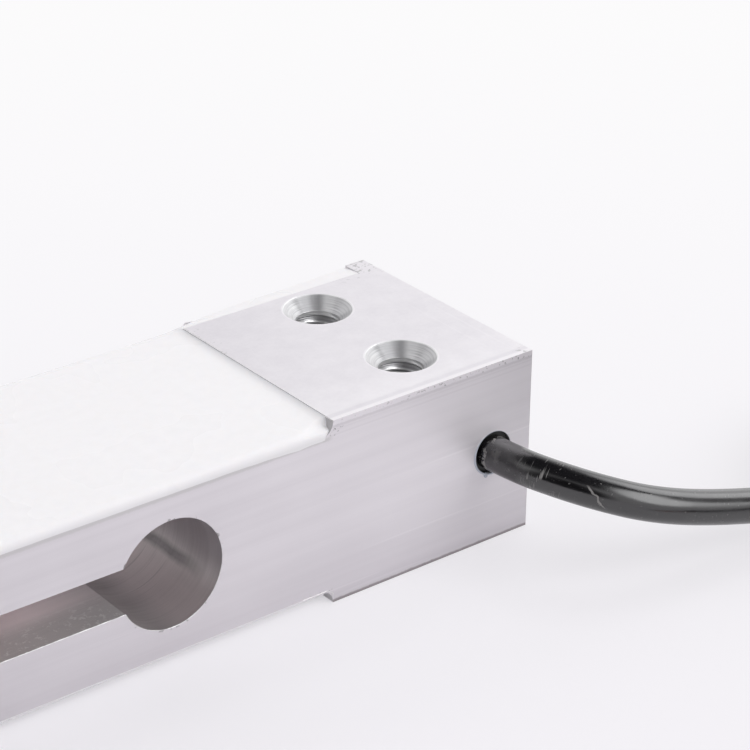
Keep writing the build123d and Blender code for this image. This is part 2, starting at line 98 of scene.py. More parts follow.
# Points of a frame mesh closer than this, in metres, are one point
MERGE = 2e-6


def smooth_step(t):
    """3 t squared minus 2 t cubed, with t held between 0 and 1."""
    t = np.clip(t, 0.0, 1.0)
    return t * t * (3.0 - 2.0 * t)


def linked(name, data):
    """A new object in the scene with this data."""
    thing = bpy.data.objects.new(name, data)
    bpy.context.collection.objects.link(thing)
    return thing


def read(items, key, width=1, kind=float):
    """One property of every item as an array, with a row for each item where it is wider than one."""
    values = np.empty(len(items) * width, kind)
    items.foreach_get(key, values)
    return values if width == 1 else values.reshape(-1, width)


def mesh_piece(name, points, faces, material):
    """A mesh object from an (n, 3) array of points and an (m, k) array of corner numbers."""
    mesh = bpy.data.meshes.new(name)
    mesh.from_pydata(points.tolist(), [], faces.tolist())
    mesh.validate()
    mesh.polygons.foreach_set("use_smooth", np.full(len(mesh.polygons), True))
    mesh.materials.append(material)
    piece = linked(name, mesh)
    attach(piece, "root")
    return piece


def grid_faces(rows, columns, wrap_rows=False, wrap_columns=False):
    """Quads between neighbouring points of a rows by columns grid, numbered row by row."""
    row_count = rows if wrap_rows else rows - 1
    column_count = columns if wrap_columns else columns - 1
    i, j = np.meshgrid(np.arange(row_count), np.arange(column_count), indexing="ij")
    j_next = (j + 1) % columns
    row = i * columns
    row_next = (i + 1) % rows * columns
    corners = [row + j, row + j_next, row_next + j_next, row_next + j]
    return np.stack(corners, -1).reshape(-1, 4)


def face_outwards(piece):
    """Merges doubles and turns every face outwards."""
    work = bmesh.new()
    work.from_mesh(piece.data)
    bmesh.ops.remove_doubles(work, verts=work.verts, dist=1e-7)
    bmesh.ops.recalc_face_normals(work, faces=work.faces)
    work.to_mesh(piece.data)
    work.free()


def drop_stored_normals(mesh):
    """Removes the corner normals that an imported mesh carries, so that its own faces set them."""
    if "custom_normal" in mesh.attributes:
        mesh.attributes.remove(mesh.attributes["custom_normal"])


def waviness(x, seed, scale):
    """A smooth random curve of x: five sines of unrelated wavelengths and phases from the seed."""
    rng = np.random.default_rng(seed)
    lengths = scale * rng.uniform(0.35, 2.2, 5)
    phases = rng.uniform(0, 2 * math.pi, 5)
    weights = rng.uniform(0.4, 1.0, 5)
    sines = [w * np.sin(2 * math.pi * x / l + p) for w, l, p in zip(weights, lengths, phases)]
    return sum(sines) / weights.sum()


# ---- Material helpers

class Recipe:
    """Nodes of a material or a world under construction, with short calls for the kinds used here."""

    def __init__(self, name, owner=None):
        self.owner = owner or bpy.data.materials.new(name)
        self.owner.use_nodes = True
        self.tree = self.owner.node_tree
        self.shader = self.tree.nodes.get("Principled BSDF")
        self.coordinates = self.tree.nodes.new("ShaderNodeTexCoord")

    def add(self, kind, inputs=None, **settings):
        """One node, with its settings and its inputs as values or as sockets to link from."""
        node = self.tree.nodes.new(kind)
        for key, value in settings.items():
            setattr(node, key, value)
        for key, value in (inputs or {}).items():
            self.feed(node.inputs[key], value)
        return node

    def feed(self, socket, value):
        """Links a socket or sets its value."""
        if isinstance(value, bpy.types.NodeSocket):
            self.tree.links.new(value, socket)
        else:
            socket.default_value = value

    def place(self, scale=(1, 1, 1), turn=(0, 0, 0), shift=(0, 0, 0), source="Object"):
        """Coordinates on the piece, moved, turned and stretched."""
        return self.add("ShaderNodeMapping", {
            "Vector": self.coordinates.outputs[source], "Scale": scale, "Rotation": turn, "Location": shift,
        }).outputs["Vector"]

    def noise(self, vector, scale, detail, roughness):
        """Noise between about 0.3 and 0.7."""
        return self.add("ShaderNodeTexNoise", {
            "Vector": vector, "Scale": scale, "Detail": detail, "Roughness": roughness}).outputs["Fac"]

    def span(self, value, low, high, to_low=0.0, to_high=1.0, kind="LINEAR"):
        """A value moved from one range to another and clamped."""
        return self.add("ShaderNodeMapRange", {
            "Value": value, "From Min": low, "From Max": high, "To Min": to_low, "To Max": to_high,
        }, interpolation_type=kind).outputs["Result"]

    def swing(self, noise, reach):
        """A noise moved to between minus and plus the reach."""
        return self.span(noise, 0.3, 0.7, -reach, reach)

    def maths(self, operation, a, b=0.5):
        """The result of one operation on one or two values."""
        node = self.add("ShaderNodeMath", operation=operation)
        self.feed(node.inputs[0], a)
        self.feed(node.inputs[1], b)
        return node.outputs["Value"]

    def blend(self, factor, a, b):
        """Colour a where the factor is 0 and b where it is 1."""
        node = self.add("ShaderNodeMix", data_type="RGBA")
        self.feed(node.inputs["Factor"], factor)
        self.feed(node.inputs["A"], a)
        self.feed(node.inputs["B"], b)
        return node.outputs["Result"]

    def bump(self, height, strength, distance):
        """A normal from a height."""
        return self.add("ShaderNodeBump", {
            "Height": height, "Strength": strength, "Distance": distance}).outputs["Normal"]

    def length(self, vector):
        """The length of a vector."""
        return self.add("ShaderNodeVectorMath", {0: vector}, operation="LENGTH").outputs["Value"]

    def spot(self, centre, size, softness=0.5):
        """1 inside a soft ellipsoid on the piece, 0 outside it."""
        scale = tuple(1.0 / s for s in size)
        shift = tuple(-c / s for c, s in zip(centre, size))
        vector = self.place(scale=scale, shift=shift)
        return self.span(self.length(vector), 1.0 + softness, 1.0 - softness)

    def axis(self, name, source="Object"):
        """One coordinate of the piece, in metres."""
        split = self.add("ShaderNodeSeparateXYZ", {"Vector": self.coordinates.outputs[source]})
        return split.outputs[name]

    def bolt_hole(self):
        """Distance from the axis of the nearest tapped hole, and the angle round it."""
        off_x = self.maths("MODULO", self.maths("ADD", self.axis("X"), 2 * BOLT_X), 2 * BOLT_X)
        off_y = self.maths("MODULO", self.maths("ADD", self.axis("Y"), 2 * BOLT_Y), 2 * BOLT_Y)
        off_x = self.less(off_x, BOLT_X)
        off_y = self.less(off_y, BOLT_Y)
        flat = self.add("ShaderNodeCombineXYZ", {"X": off_x, "Y": off_y}).outputs["Vector"]
        return self.length(flat), self.maths("ARCTAN2", off_y, off_x)

    def near_value(self, value, centre, reach):
        """1 where a value is at the centre, falling to 0 at the reach on both sides."""
        away = self.absolute(self.less(value, centre))
        return self.span(away, reach, 0.3 * reach)

    def tint(self, colour, mask, share, towards):
        """A colour moved towards another by a share of a mask."""
        return self.blend(self.times(mask, share), colour, (*towards, 1))

    def times(self, a, b):
        """The product of two values."""
        return self.maths("MULTIPLY", a, b)

    def less(self, a, b):
        """The first value less the second."""
        return self.maths("SUBTRACT", a, b)

    def absolute(self, value):
        """A value without its sign."""
        return self.maths("ABSOLUTE", value)

    def outside(self, mask):
        """1 where a mask is 0."""
        return self.less(1.0, mask)

    def most(self, *values):
        """The largest of several values."""
        result = values[0]
        for value in values[1:]:
            result = self.maths("MAXIMUM", result, value)
        return result

    def total(self, *values):
        """The sum of several values."""
        result = values[0]
        for value in values[1:]:
            result = self.maths("ADD", result, value)
        return result

    def finish(self, **values):
        """Sets the shader's sockets."""
        for key, value in values.items():
            self.feed(self.shader.inputs[key.replace("_", " ").title().replace("Ior", "IOR")], value)
        return self.owner


# ---- Finishes

def drawn_side_finish():
    """Drawn aluminium of the two sides: fine lines along the bar and faint stray scratches, with a
    rough strip along the top edge of the end blocks that a painted highlight makes lighter, a grey line
    under the silicone, and small dark nicks at the corners and round the bore."""
    r = Recipe("drawn side")
    x, z = r.axis("X"), r.axis("Z")
    from_middle = r.absolute(x)
    lines = r.noise(r.place(scale=(6, 900, 900)), 1.0, 3.0, 0.6)
    broad = r.noise(r.place(scale=(12, 60, 160)), 1.0, 3.0, 0.55)
    cloud = r.noise(r.place(), 55.0, 3.0, 0.5)
    grain = r.noise(r.place(), 1900.0, 3.0, 0.65)
    hairs = []
    for turn, shift in ((0.62, 0.0), (-0.5, 0.31), (1.25, 0.77)):
        crossing = r.place(scale=(26, 1, 1500), turn=(0, turn, 0), shift=(shift, 0, shift))
        hairs.append(r.span(r.noise(crossing, 1.0, 1.0, 0.4), 0.70, 0.76))
    scratches = r.most(*hairs)
    on_end = r.span(from_middle, LAND_START - 0.6 * MM, LAND_START + 0.1 * MM)
    on_recess = r.outside(on_end)
    edge_wave = r.times(r.less(grain, 0.5), 0.25 * MM)
    z_rough = r.total(z, edge_wave)
    # Painted highlight: a lighter strip along the top edge of the end blocks; its grain bump is real
    # roughness.
    rough_highlight_strip = r.times(on_end, r.span(z_rough, HEIGHT - 0.66 * MM, HEIGHT - 0.54 * MM))
    under_strip = r.times(on_end, r.near_value(z_rough, HEIGHT - 0.75 * MM, 0.22 * MM))
    faint_lines = r.times(on_end, r.most(r.near_value(z, HEIGHT - 1.15 * MM, 0.12 * MM),
                                         r.near_value(z, FLOOR_Z, 0.16 * MM)))
    silicone_line = r.times(on_recess, r.near_value(z_rough, FLOOR_Z - 0.26 * MM, 0.34 * MM))
    # Painted shade: a dark line of contact shade along the foot of the end blocks.
    foot = r.times(on_end, r.span(z_rough, 0.42 * MM, 0.24 * MM))
    # Painted shade: the sides grow darker towards the floor over the lowest 8 mm.
    low = r.span(z, 8.0 * MM, 0.5 * MM)
    speck = r.span(r.noise(r.place(), 2600.0, 2.0, 0.5), 0.60, 0.64)
    by_corner = r.span(x, 40 * MM, 64 * MM, 0.25, 1.0)
    strip_specks = r.times(r.times(rough_highlight_strip, speck), by_corner)
    end_line = r.span(r.total(from_middle, edge_wave), HALF_LENGTH - 0.22 * MM, HALF_LENGTH - 0.10 * MM)
    from_bore = r.add("ShaderNodeCombineXYZ", {
        "X": r.less(from_middle, BORE_X), "Z": r.less(z, MID_HEIGHT)})
    bore_distance = r.length(from_bore.outputs["Vector"])
    at_bore = r.span(bore_distance, BORE_RADIUS + 0.32 * MM, BORE_RADIUS + 0.05 * MM)
    bore_nicks = r.times(at_bore, r.span(r.noise(r.place(), 1300.0, 2.0, 0.5), 0.60, 0.64))
    at_bottom = r.times(on_recess, r.span(z_rough, 2.0 * MM, 1.6 * MM))
    bottom_nicks = r.times(r.times(at_bottom, speck), r.span(from_middle, 31 * MM, 36 * MM))
    # Painted light: the side is made lighter above and beside the cable hole.
    painted_light_by_cable = r.spot((52 * MM, -HALF_WIDTH, 15 * MM), (15 * MM, 4 * MM, 9 * MM), 0.9)
    tone = r.total(
        r.times(painted_light_by_cable, 0.05), r.swing(broad, 0.018), r.swing(cloud, 0.02),
        r.swing(lines, 0.016), r.times(scratches, 0.03),
        r.times(rough_highlight_strip, 0.03), r.times(under_strip, -0.06),
        r.times(faint_lines, -0.03), r.times(low, -0.08))
    colour = r.blend(r.span(tone, -0.12, 0.12), (0.55, 0.522, 0.553, 1), (0.845, 0.817, 0.848, 1))
    colour = r.tint(colour, silicone_line, 0.35, (0.42, 0.42, 0.39))
    colour = r.tint(colour, foot, 0.75, (0.20, 0.175, 0.175))
    colour = r.tint(colour, end_line, 0.45, (0.45, 0.40, 0.36))
    at_corner = r.spot((37.8 * MM, -HALF_WIDTH, 20.75 * MM), (0.9 * MM, 1 * MM, 0.5 * MM), 0.4)
    nicks = r.most(strip_specks, bore_nicks, bottom_nicks, r.times(speck, at_corner))
    colour = r.tint(colour, nicks, 0.75, (0.16, 0.155, 0.155))
    height = r.total(lines, r.times(scratches, -0.5), r.times(nicks, -1.5), r.times(rough_highlight_strip, grain))
    return r.finish(
        base_color=colour, metallic=0.6, roughness=r.span(cloud, 0.3, 0.7, 0.38, 0.48),
        normal=r.bump(height, 0.14, 0.00006))


def milled_land_finish():
    """Milled aluminium of the lands: bright, faint mottling, very fine crossing scratches, a band along
    the cable side made whiter by painted light with a thin painted highlight line at its inner edge, a
    thin painted highlight round each countersink, and rough dark spots at the far corners."""
    r = Recipe("milled land")
    x, y = r.axis("X"), r.axis("Y")
    from_middle = r.absolute(x)
    mottle = r.noise(r.place(), 420.0, 4.0, 0.6)
    cloud = r.noise(r.place(), 70.0, 3.0, 0.5)
    grain = r.noise(r.place(), 2100.0, 3.0, 0.6)
    hair = r.noise(r.place(scale=(1400, 22, 1), turn=(0, 0, 0.9)), 1.0, 1.0, 0.4)
    hair = r.span(hair, 0.70, 0.76)
    rough_y = r.total(y, r.times(r.less(mottle, 0.5), 0.3 * MM))
    # Painted light: the land grows whiter towards the cable side.
    painted_near_edge_light = r.span(y, -6 * MM, -13 * MM)
    band = r.near_value(rough_y, -HALF_WIDTH + 0.95 * MM, 0.5 * MM)
    # Painted highlight: a thin bright line along the cable-side edge of the land.
    line = r.span(rough_y, -HALF_WIDTH + 0.6 * MM, -HALF_WIDTH + 0.5 * MM)
    past_edge = r.span(rough_y, HALF_WIDTH - 0.4 * MM, HALF_WIDTH - 0.25 * MM)
    rim = r.span(r.total(from_middle, r.times(r.less(grain, 0.5), 0.4 * MM)),
                 HALF_LENGTH - 0.3 * MM, HALF_LENGTH - 0.14 * MM)
    step_rim = r.span(r.total(from_middle, r.times(r.less(grain, 0.5), 0.5 * MM)),
                      LAND_START + 0.24 * MM, LAND_START + 0.1 * MM)
    # Painted highlight: a thin bright rim round each countersink.
    hole_rim_highlight = r.near_value(r.bolt_hole()[0], SINK_RADIUS + 0.06 * MM, 0.12 * MM)
    far_dark = r.span(y, 0.0, 13 * MM)
    shaded = r.spot((40 * MM, 10 * MM, HEIGHT), (9 * MM, 9 * MM, 20 * MM), 0.8)
    speck = r.span(r.noise(r.place(), 1700.0, 2.0, 0.5), 0.61, 0.65)
    far_corner = r.spot((62.5 * MM, 13.6 * MM, HEIGHT), (3.4 * MM, 2.4 * MM, 9 * MM), 0.5)
    step_far = r.times(r.span(from_middle, LAND_START + 1.6 * MM, LAND_START + 0.4 * MM), far_dark)
    near_corner = r.spot((64.4 * MM, -14.3 * MM, HEIGHT), (1.1 * MM, 1.0 * MM, 9 * MM), 0.5)
    spots = r.times(speck, r.most(far_corner, step_far, near_corner))
    tone = r.total(
        r.swing(grain, 0.25), r.swing(mottle, 0.5), r.swing(cloud, 0.4),
        r.times(hair, 0.5), r.times(painted_near_edge_light, 1.1), r.times(band, -1.4),
        r.times(line, 1.3), r.times(shaded, -0.75), r.times(rim, 0.9),
        r.times(hole_rim_highlight, 1.6))
    colour = r.blend(r.span(tone, -2.0, 2.0), (0.735, 0.71, 0.75, 1), (0.945, 0.925, 0.95, 1))
    colour = r.tint(colour, spots, 0.55, (0.30, 0.30, 0.29))
    colour = r.blend(r.times(r.times(step_rim, 0.35), far_dark), colour, (0.40, 0.39, 0.38, 1))
    colour = r.tint(colour, past_edge, 0.25, (0.5, 0.5, 0.48))
    height = r.total(grain, mottle, r.times(spots, -1.0))
    return r.finish(
        base_color=colour, metallic=0.22, roughness=r.span(mottle, 0.3, 0.7, 0.40, 0.52),
        normal=r.bump(height, 0.10, 0.00005))


def bored_wall_finish():
    """Bored and slotted aluminium of the flexure cut-out. The bore has fine rings, a painted reflection as a
    dark stripe along it low on the side away from the slot, and a warmer light zone below that. The slot's
    walls are mauve and smooth deep inside and grey and rough with specks towards the two sides."""
    r = Recipe("bored wall")
    x, y, z = r.axis("X"), r.axis("Y"), r.axis("Z")
    from_middle = r.absolute(x)
    rings = r.noise(r.place(scale=(40, 2600, 40)), 1.0, 3.0, 0.65)
    broad = r.noise(r.place(scale=(60, 420, 60)), 1.0, 3.0, 0.6)
    cloud = r.noise(r.place(), 260.0, 3.0, 0.6)
    grain = r.noise(r.place(), 1500.0, 4.0, 0.65)
    out = r.less(from_middle, BORE_X)
    up = r.less(z, MID_HEIGHT)
    angle = r.maths("ARCTAN2", up, out)
    wander = r.times(r.less(cloud, 0.5), 0.16)
    angle = r.total(angle, wander)
    # Painted reflection: a dark stripe along the bore where it mirrors the slot.
    painted_reflection_stripe = r.near_value(angle, math.radians(-30), math.radians(8.5))
    painted_reflection_stripe = r.times(painted_reflection_stripe, r.times(r.span(y, -12.5 * MM, -9 * MM), r.span(cloud, 0.25, 0.5, 0.6, 1.0)))
    warm = r.near_value(angle, math.radians(-64), math.radians(38))
    cool = r.span(angle, math.radians(-28), math.radians(0))
    in_slot = r.span(out, -4.6 * MM, -5.8 * MM)
    deep = r.span(r.absolute(r.total(y, r.times(wander, 2 * MM))), 12.2 * MM, 9.6 * MM)
    mauve = r.times(in_slot, deep)
    mauve = r.times(mauve, r.span(from_middle, 12.5 * MM, 4.0 * MM, 0.25, 1.0))
    rough = r.times(in_slot, r.outside(deep))
    specks = r.times(r.span(grain, 0.56, 0.62), rough)
    tone = r.total(r.swing(rings, 0.5), r.swing(broad, 0.5))
    colour = r.blend(r.span(tone, -0.9, 0.9), (0.46, 0.43, 0.43, 1), (0.655, 0.615, 0.615, 1))
    colour = r.tint(colour, warm, 0.45, (0.80, 0.70, 0.69))
    colour = r.tint(colour, cool, 0.4, (0.62, 0.60, 0.66))
    colour = r.tint(colour, painted_reflection_stripe, 0.75, (0.17, 0.165, 0.17))
    colour = r.tint(colour, mauve, 0.85, (1.0, 0.90, 0.91))
    colour = r.tint(colour, rough, 0.6, (0.70, 0.69, 0.675))
    colour = r.tint(colour, specks, 0.5, (0.95, 0.95, 0.93))
    fine_lines = r.times(r.span(rings, 0.58, 0.66), warm)
    colour = r.tint(colour, fine_lines, 0.4, (0.30, 0.27, 0.27))
    height = r.total(rings, r.times(rough, r.times(grain, 4.0)))
    return r.finish(
        base_color=colour, metallic=r.span(mauve, 0.0, 1.0, 0.75, 0.40),
        roughness=r.span(broad, 0.3, 0.7, 0.38, 0.5),
        normal=r.bump(height, 0.2, 0.00006))


def sawn_end_finish():
    """Sawn and milled end faces: fine upright lines."""
    r = Recipe("sawn end")
    lines = r.noise(r.place(scale=(300, 900, 30)), 1.0, 3.0, 0.6)
    cloud = r.noise(r.place(), 90.0, 3.0, 0.5)
    colour = r.blend(r.span(cloud, 0.3, 0.7), (0.62, 0.608, 0.624, 1), (0.74, 0.728, 0.744, 1))
    return r.finish(
        base_color=colour, metallic=1.0, roughness=0.42, normal=r.bump(lines, 0.15, 0.00006))


def turned_hole_finish():
    """Countersinks and threads: bright turned metal. Round each hole the cone has three fans of painted
    highlight, a fan of painted darker reflection between two of them, and the fine rings that a turned
    cone has. Below it the thread's crests carry a painted highlight and its grooves painted shade, and
    each hole's mouth has a thin painted highlight."""
    r = Recipe("turned hole")
    z = r.axis("Z")
    radius, angle = r.bolt_hole()
    depth = r.less(MID_HEIGHT, r.absolute(r.less(z, MID_HEIGHT)))
    on_cone = r.span(depth, 1.48 * MM, 1.40 * MM)
    turned = r.add("ShaderNodeCombineXYZ", {
        "X": r.times(angle, 0.7), "Y": r.times(radius, 8500.0)})
    rings = r.noise(turned.outputs["Vector"], 1.0, 2.0, 0.5)
    wobble = r.times(r.less(rings, 0.5), 0.5)
    shifted = r.total(angle, wobble)
    # Painted highlight: three light fans by the angle round each hole.
    highlight_fans = []
    for centre, reach in ((135, 42), (28, 24), (-70, 30)):
        highlight_fans.append(r.near_value(shifted, math.radians(centre), math.radians(reach)))
    highlight_fans = r.times(r.most(*highlight_fans), on_cone)
    # Painted reflection: a darker, duller fan between two of the light fans.
    painted_dull_fan = r.times(r.near_value(shifted, math.radians(74), math.radians(30)), on_cone)
    tone = r.total(r.times(highlight_fans, 0.6), r.span(rings, 0.35, 0.65, -0.25, 0.25))
    colour = r.blend(r.span(tone, -0.25, 0.85), (0.45, 0.45, 0.46, 1), (0.82, 0.82, 0.825, 1))
    colour = r.tint(colour, painted_dull_fan, 0.6, (0.28, 0.28, 0.29))
    even = r.times(r.most(highlight_fans, painted_dull_fan), 0.45)
    # Painted shade in the thread's grooves.
    groove_shade = r.times(r.outside(on_cone), r.span(radius, THREAD_INNER + 0.02 * MM, THREAD_OUTER))
    colour = r.tint(colour, groove_shade, 0.25, (0.40, 0.39, 0.39))
    # Painted highlight on the thread's crests.
    crest_highlight = r.times(r.outside(on_cone), r.span(radius, THREAD_INNER + 0.16 * MM, THREAD_INNER + 0.02 * MM))
    colour = r.tint(colour, crest_highlight, 0.8, (0.97, 0.97, 0.97))
    # Painted highlight: a thin white rim at the mouth of each hole.
    mouth_highlight = r.span(depth, 0.09 * MM, 0.05 * MM)
    colour = r.tint(colour, mouth_highlight, 0.7, (0.99, 0.99, 0.99))
    return r.finish(
        base_color=colour, metallic=r.less(0.65, even), roughness=r.span(highlight_fans, 0.0, 1.0, 0.28, 0.42),
        normal=r.bump(rings, 0.25, 0.00003))


def silicone_finish():
    """Cured white silicone: milky, smooth and glossy, with a faint unevenness."""
    r = Recipe("white silicone")
    x, y, z = r.axis("X"), r.axis("Y"), r.axis("Z")
    from_middle = r.absolute(x)
    swell = r.noise(r.place(), 120.0, 2.0, 0.4)
    # Painted shade on the near wall of the silicone.
    near_wall_shade = r.times(r.span(y, -14.45 * MM, -14.95 * MM), r.span(z, 21.3 * MM, 20.3 * MM))
    milky = r.noise(r.place(), 700.0, 3.0, 0.6)
    colour = r.blend(r.span(milky, 0.3, 0.7), (0.955, 0.94, 0.955, 1), (0.98, 0.965, 0.98, 1))
    colour = r.tint(colour, near_wall_shade, 0.9, (0.80, 0.79, 0.80))
    # Painted shade in the silicone's dip beside the step to the lands.
    near_step_shade = r.times(r.span(from_middle, 36.5 * MM, 37.5 * MM), r.span(z, 21.2 * MM, 21.5 * MM))
    near_step_shade = r.times(near_step_shade, r.span(from_middle, LAND_START + 0.1 * MM, LAND_START))
    colour = r.tint(colour, near_step_shade, 0.3, (0.62, 0.62, 0.64))
    r.shader.inputs["Specular IOR Level"].default_value = 0.12
    r.shader.inputs["Subsurface Weight"].default_value = 0.25
    r.shader.inputs["Subsurface Radius"].default_value = (1.0, 0.9, 0.8)
    r.shader.inputs["Subsurface Scale"].default_value = 0.0004
    return r.finish(
        base_color=colour, roughness=r.span(swell, 0.3, 0.7, 0.26, 0.30),
        normal=r.bump(swell, 0.03, 0.0001))


def jacket_finish():
    """Black PVC of the cable: gloss with a fine grain, small pale specks, and scuffs near the beam that lie
    across and along the cable, of which the rubbed grey patch nearest the hole is partly wear and partly a
    painted reflection of the beam's side. Length along the cable is the U of its map, in metres."""
    r = Recipe("black jacket")
    along = r.axis("X", "UV")
    grain = r.noise(r.place(), 1300.0, 3.0, 0.65)
    coarse = r.noise(r.place(), 420.0, 3.0, 0.6)
    around = r.axis("Y", "UV")
    around = r.total(around, r.maths("LESS_THAN", around, 0.5))
    dots = r.span(r.noise(r.place(), 3200.0, 1.0, 0.5), 0.72, 0.75)
    scrapes = r.span(r.noise(r.place(scale=(4200, 5, 1), source="UV"), 1.0, 1.0, 0.5), 0.60, 0.68)
    worn = r.times(r.near_value(along, 7.2 * MM, 2.9 * MM), r.span(coarse, 0.40, 0.55))
    # Rubbed grey patch near the hole: partly real wear, partly a painted reflection of the beam's side, kept
    # to the middle band of the side the camera sees.
    rubbed_and_reflection = r.times(r.near_value(along, 3.0 * MM, 3.2 * MM), r.span(coarse, 0.40, 0.62))
    rubbed_and_reflection = r.times(r.times(rubbed_and_reflection, r.span(grain, 0.30, 0.60)), r.near_value(around, 0.93, 0.17))
    root = r.times(r.near_value(along, 0.5 * MM, 0.4 * MM), r.span(grain, 0.50, 0.56))
    wander = r.times(r.less(coarse, 0.5), 2.4 * MM)
    on_scuff = r.total(along, wander, r.times(r.less(around, 0.90), -12.0 * MM))
    at_scuff = r.span(r.absolute(r.less(around, 0.965)), 0.09, 0.065)
    scuff = r.times(r.near_value(on_scuff, 12.4 * MM, 0.17 * MM), at_scuff)
    marks = r.most(r.times(scrapes, worn), r.times(rubbed_and_reflection, 0.25), root, scuff, r.times(dots, 0.35))
    colour = r.blend(r.times(marks, 0.75), (0.0045, 0.004, 0.005, 1), (0.30, 0.29, 0.28, 1))
    height = r.total(grain, r.times(marks, 1.5))
    r.shader.inputs["IOR"].default_value = 1.53
    r.shader.inputs["Specular IOR Level"].default_value = 1.0
    return r.finish(
        base_color=colour, roughness=r.span(r.total(r.times(coarse, 0.5), marks), 0.15, 1.0, 0.16, 0.6),
        normal=r.bump(height, 0.10, 0.00004))


def plain_finish(name, colour, roughness, metallic=0.0, grain_scale=900.0, grain_depth=0.1):
    """A finish for small parts: one colour with fine grain in tone and surface."""
    r = Recipe(name)
    grain = r.noise(r.place(), grain_scale, 3.0, 0.6)
    darker = tuple(0.8 * c for c in colour) + (1,)
    shade = r.blend(r.span(grain, 0.3, 0.7), darker, tuple(colour) + (1,))
    return r.finish(base_color=shade, metallic=metallic, roughness=roughness,
                    normal=r.bump(grain, grain_depth, 0.00005))


DRAWN_SIDE = drawn_side_finish()
MILLED_LAND = milled_land_finish()
BORED_WALL = bored_wall_finish()
SAWN_END = sawn_end_finish()
TURNED_HOLE = turned_hole_finish()
SILICONE = silicone_finish()
JACKET = jacket_finish()
# Painted shade: the step walls get a darker, duller grey than the rest of the beam for the shade they stand
# in.
SHADED_STEP_WALL = plain_finish("shaded step wall", (0.50, 0.49, 0.50), 0.5, 0.4)
BRIGHT_BURR = plain_finish("bright burr", (0.86, 0.85, 0.85), 0.35, 0.8)
CLEAR_ADHESIVE = plain_finish("clear adhesive", (0.50, 0.53, 0.60), 0.12, 0.0, 300.0, 0.05)


# ---- The beam

def beam_face_kinds(mesh):
    """For every face, the number of its finish: sides, lands, cut-out walls, ends, step walls."""
    normals = np.abs(read(mesh.polygons, "normal", 3))
    centres = read(mesh.polygons, "center", 3)
    from_end = np.abs(centres[:, 0])
    from_middle = np.abs(centres[:, 2] - MID_HEIGHT)
    slack = 0.05 * MM
    kinds = np.zeros(len(normals), int)
    kinds[normals[:, 2] > 0.7] = 1
    kinds[normals[:, 0] > 0.7] = 3
    in_cut = (from_middle < BORE_RADIUS + slack) & (from_end < BORE_X + BORE_RADIUS + slack)
    kinds[in_cut & (normals[:, 1] < 0.6)] = 2
    at_step = (from_middle > MID_HEIGHT - RECESS_DEPTH - 2 * slack) & (from_middle < MID_HEIGHT - slack)
    at_step &= (from_end > LAND_START - 2.0 * MM) & (from_end < LAND_START + slack)
    kinds[at_step & (normals[:, 1] < 0.5)] = 4
    return kinds


def beam_piece():
    """The frame's beam with its doubles merged, its edges broken and a finish on each kind of face."""
    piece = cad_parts["beam"].copy()
    piece.data = piece.data.copy()
    piece.name = "beam_body"
    bpy.context.collection.objects.link(piece)
    work = bmesh.new()
    work.from_mesh(piece.data)
    bmesh.ops.remove_doubles(work, verts=work.verts, dist=MERGE)
    bmesh.ops.dissolve_limit(work, angle_limit=math.radians(0.4), verts=work.verts, edges=work.edges)
    work.to_mesh(piece.data)
    work.free()
    piece.data.materials.clear()
    for material in (DRAWN_SIDE, MILLED_LAND, BORED_WALL, SAWN_END, SHADED_STEP_WALL):
        piece.data.materials.append(material)
    piece.data.polygons.foreach_set("material_index", beam_face_kinds(piece.data))
    drop_stored_normals(piece.data)
    largest_curved_facet = 40 * MM * MM
    areas = read(piece.data.polygons, "area")
    piece.data.polygons.foreach_set("use_smooth", areas < largest_curved_facet)
    piece.data.set_sharp_from_angle(angle=math.radians(25))
    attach(piece, "root")
    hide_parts("beam")


def threaded_sleeve(name, x, y):
    """The surface inside one tapped hole. Its radius is the larger of a cone from each mouth and the
    thread, which is a rounded triangle wave of height less one pitch per turn, cut deeper by a smooth
    step below the cone. The outer side is the hole's own wall."""
    turns = np.linspace(0, 2 * math.pi, 96, endpoint=False)
    heights = np.linspace(0.01 * MM, HEIGHT - 0.01 * MM, 420)
    z, angle = np.meshgrid(heights, turns, indexing="ij")
    phase = z / THREAD_PITCH - angle / (2 * math.pi)
    wave = np.abs(phase - np.round(phase)) * 2
    wave = np.clip(wave * 1.25 - 0.125, 0, 1)
    depth = np.minimum(z, HEIGHT - z)
    cut = smooth_step((depth - 1.40 * MM) / (0.9 * MM))
    thread = THREAD_INNER + (THREAD_OUTER - 0.03 * MM - THREAD_INNER) * wave * cut
    cone = SINK_RADIUS - 0.035 * MM - depth
    inner = np.maximum(thread, cone)
    outer = np.maximum(np.full_like(z, THREAD_OUTER), SINK_RADIUS - depth)
    shells = []
    for radius in (inner, outer):
        shells.append(np.stack([x + radius * np.cos(angle), y + radius * np.sin(angle), z], -1))
    points = np.concatenate([shells[0], shells[1][::-1]]).reshape(-1, 3)
    faces = grid_faces(2 * len(heights), len(turns), wrap_rows=True, wrap_columns=True)
    face_outwards(mesh_piece(name, points, faces, TURNED_HOLE))


# ---- The silicone

def channel_top(x, y):
    """The height of the silicone in the wire channel: level with the land along the channel's inner
    edge and lower towards the open side by a drop that is largest where the channel leaves the recess."""
    drop = np.interp(x / MM, (37.5, 40.0, 43.0, 48.0, 53.0, 62.0), (1.30, 1.0, 0.75, 0.5, 0.5, 0.24)) * MM
    across = np.clip((y - CHANNEL_INNER_Y) / (HALF_WIDTH - CHANNEL_INNER_Y), 0, 1)
    return HEIGHT - 0.05 * MM - drop * across ** 1.5


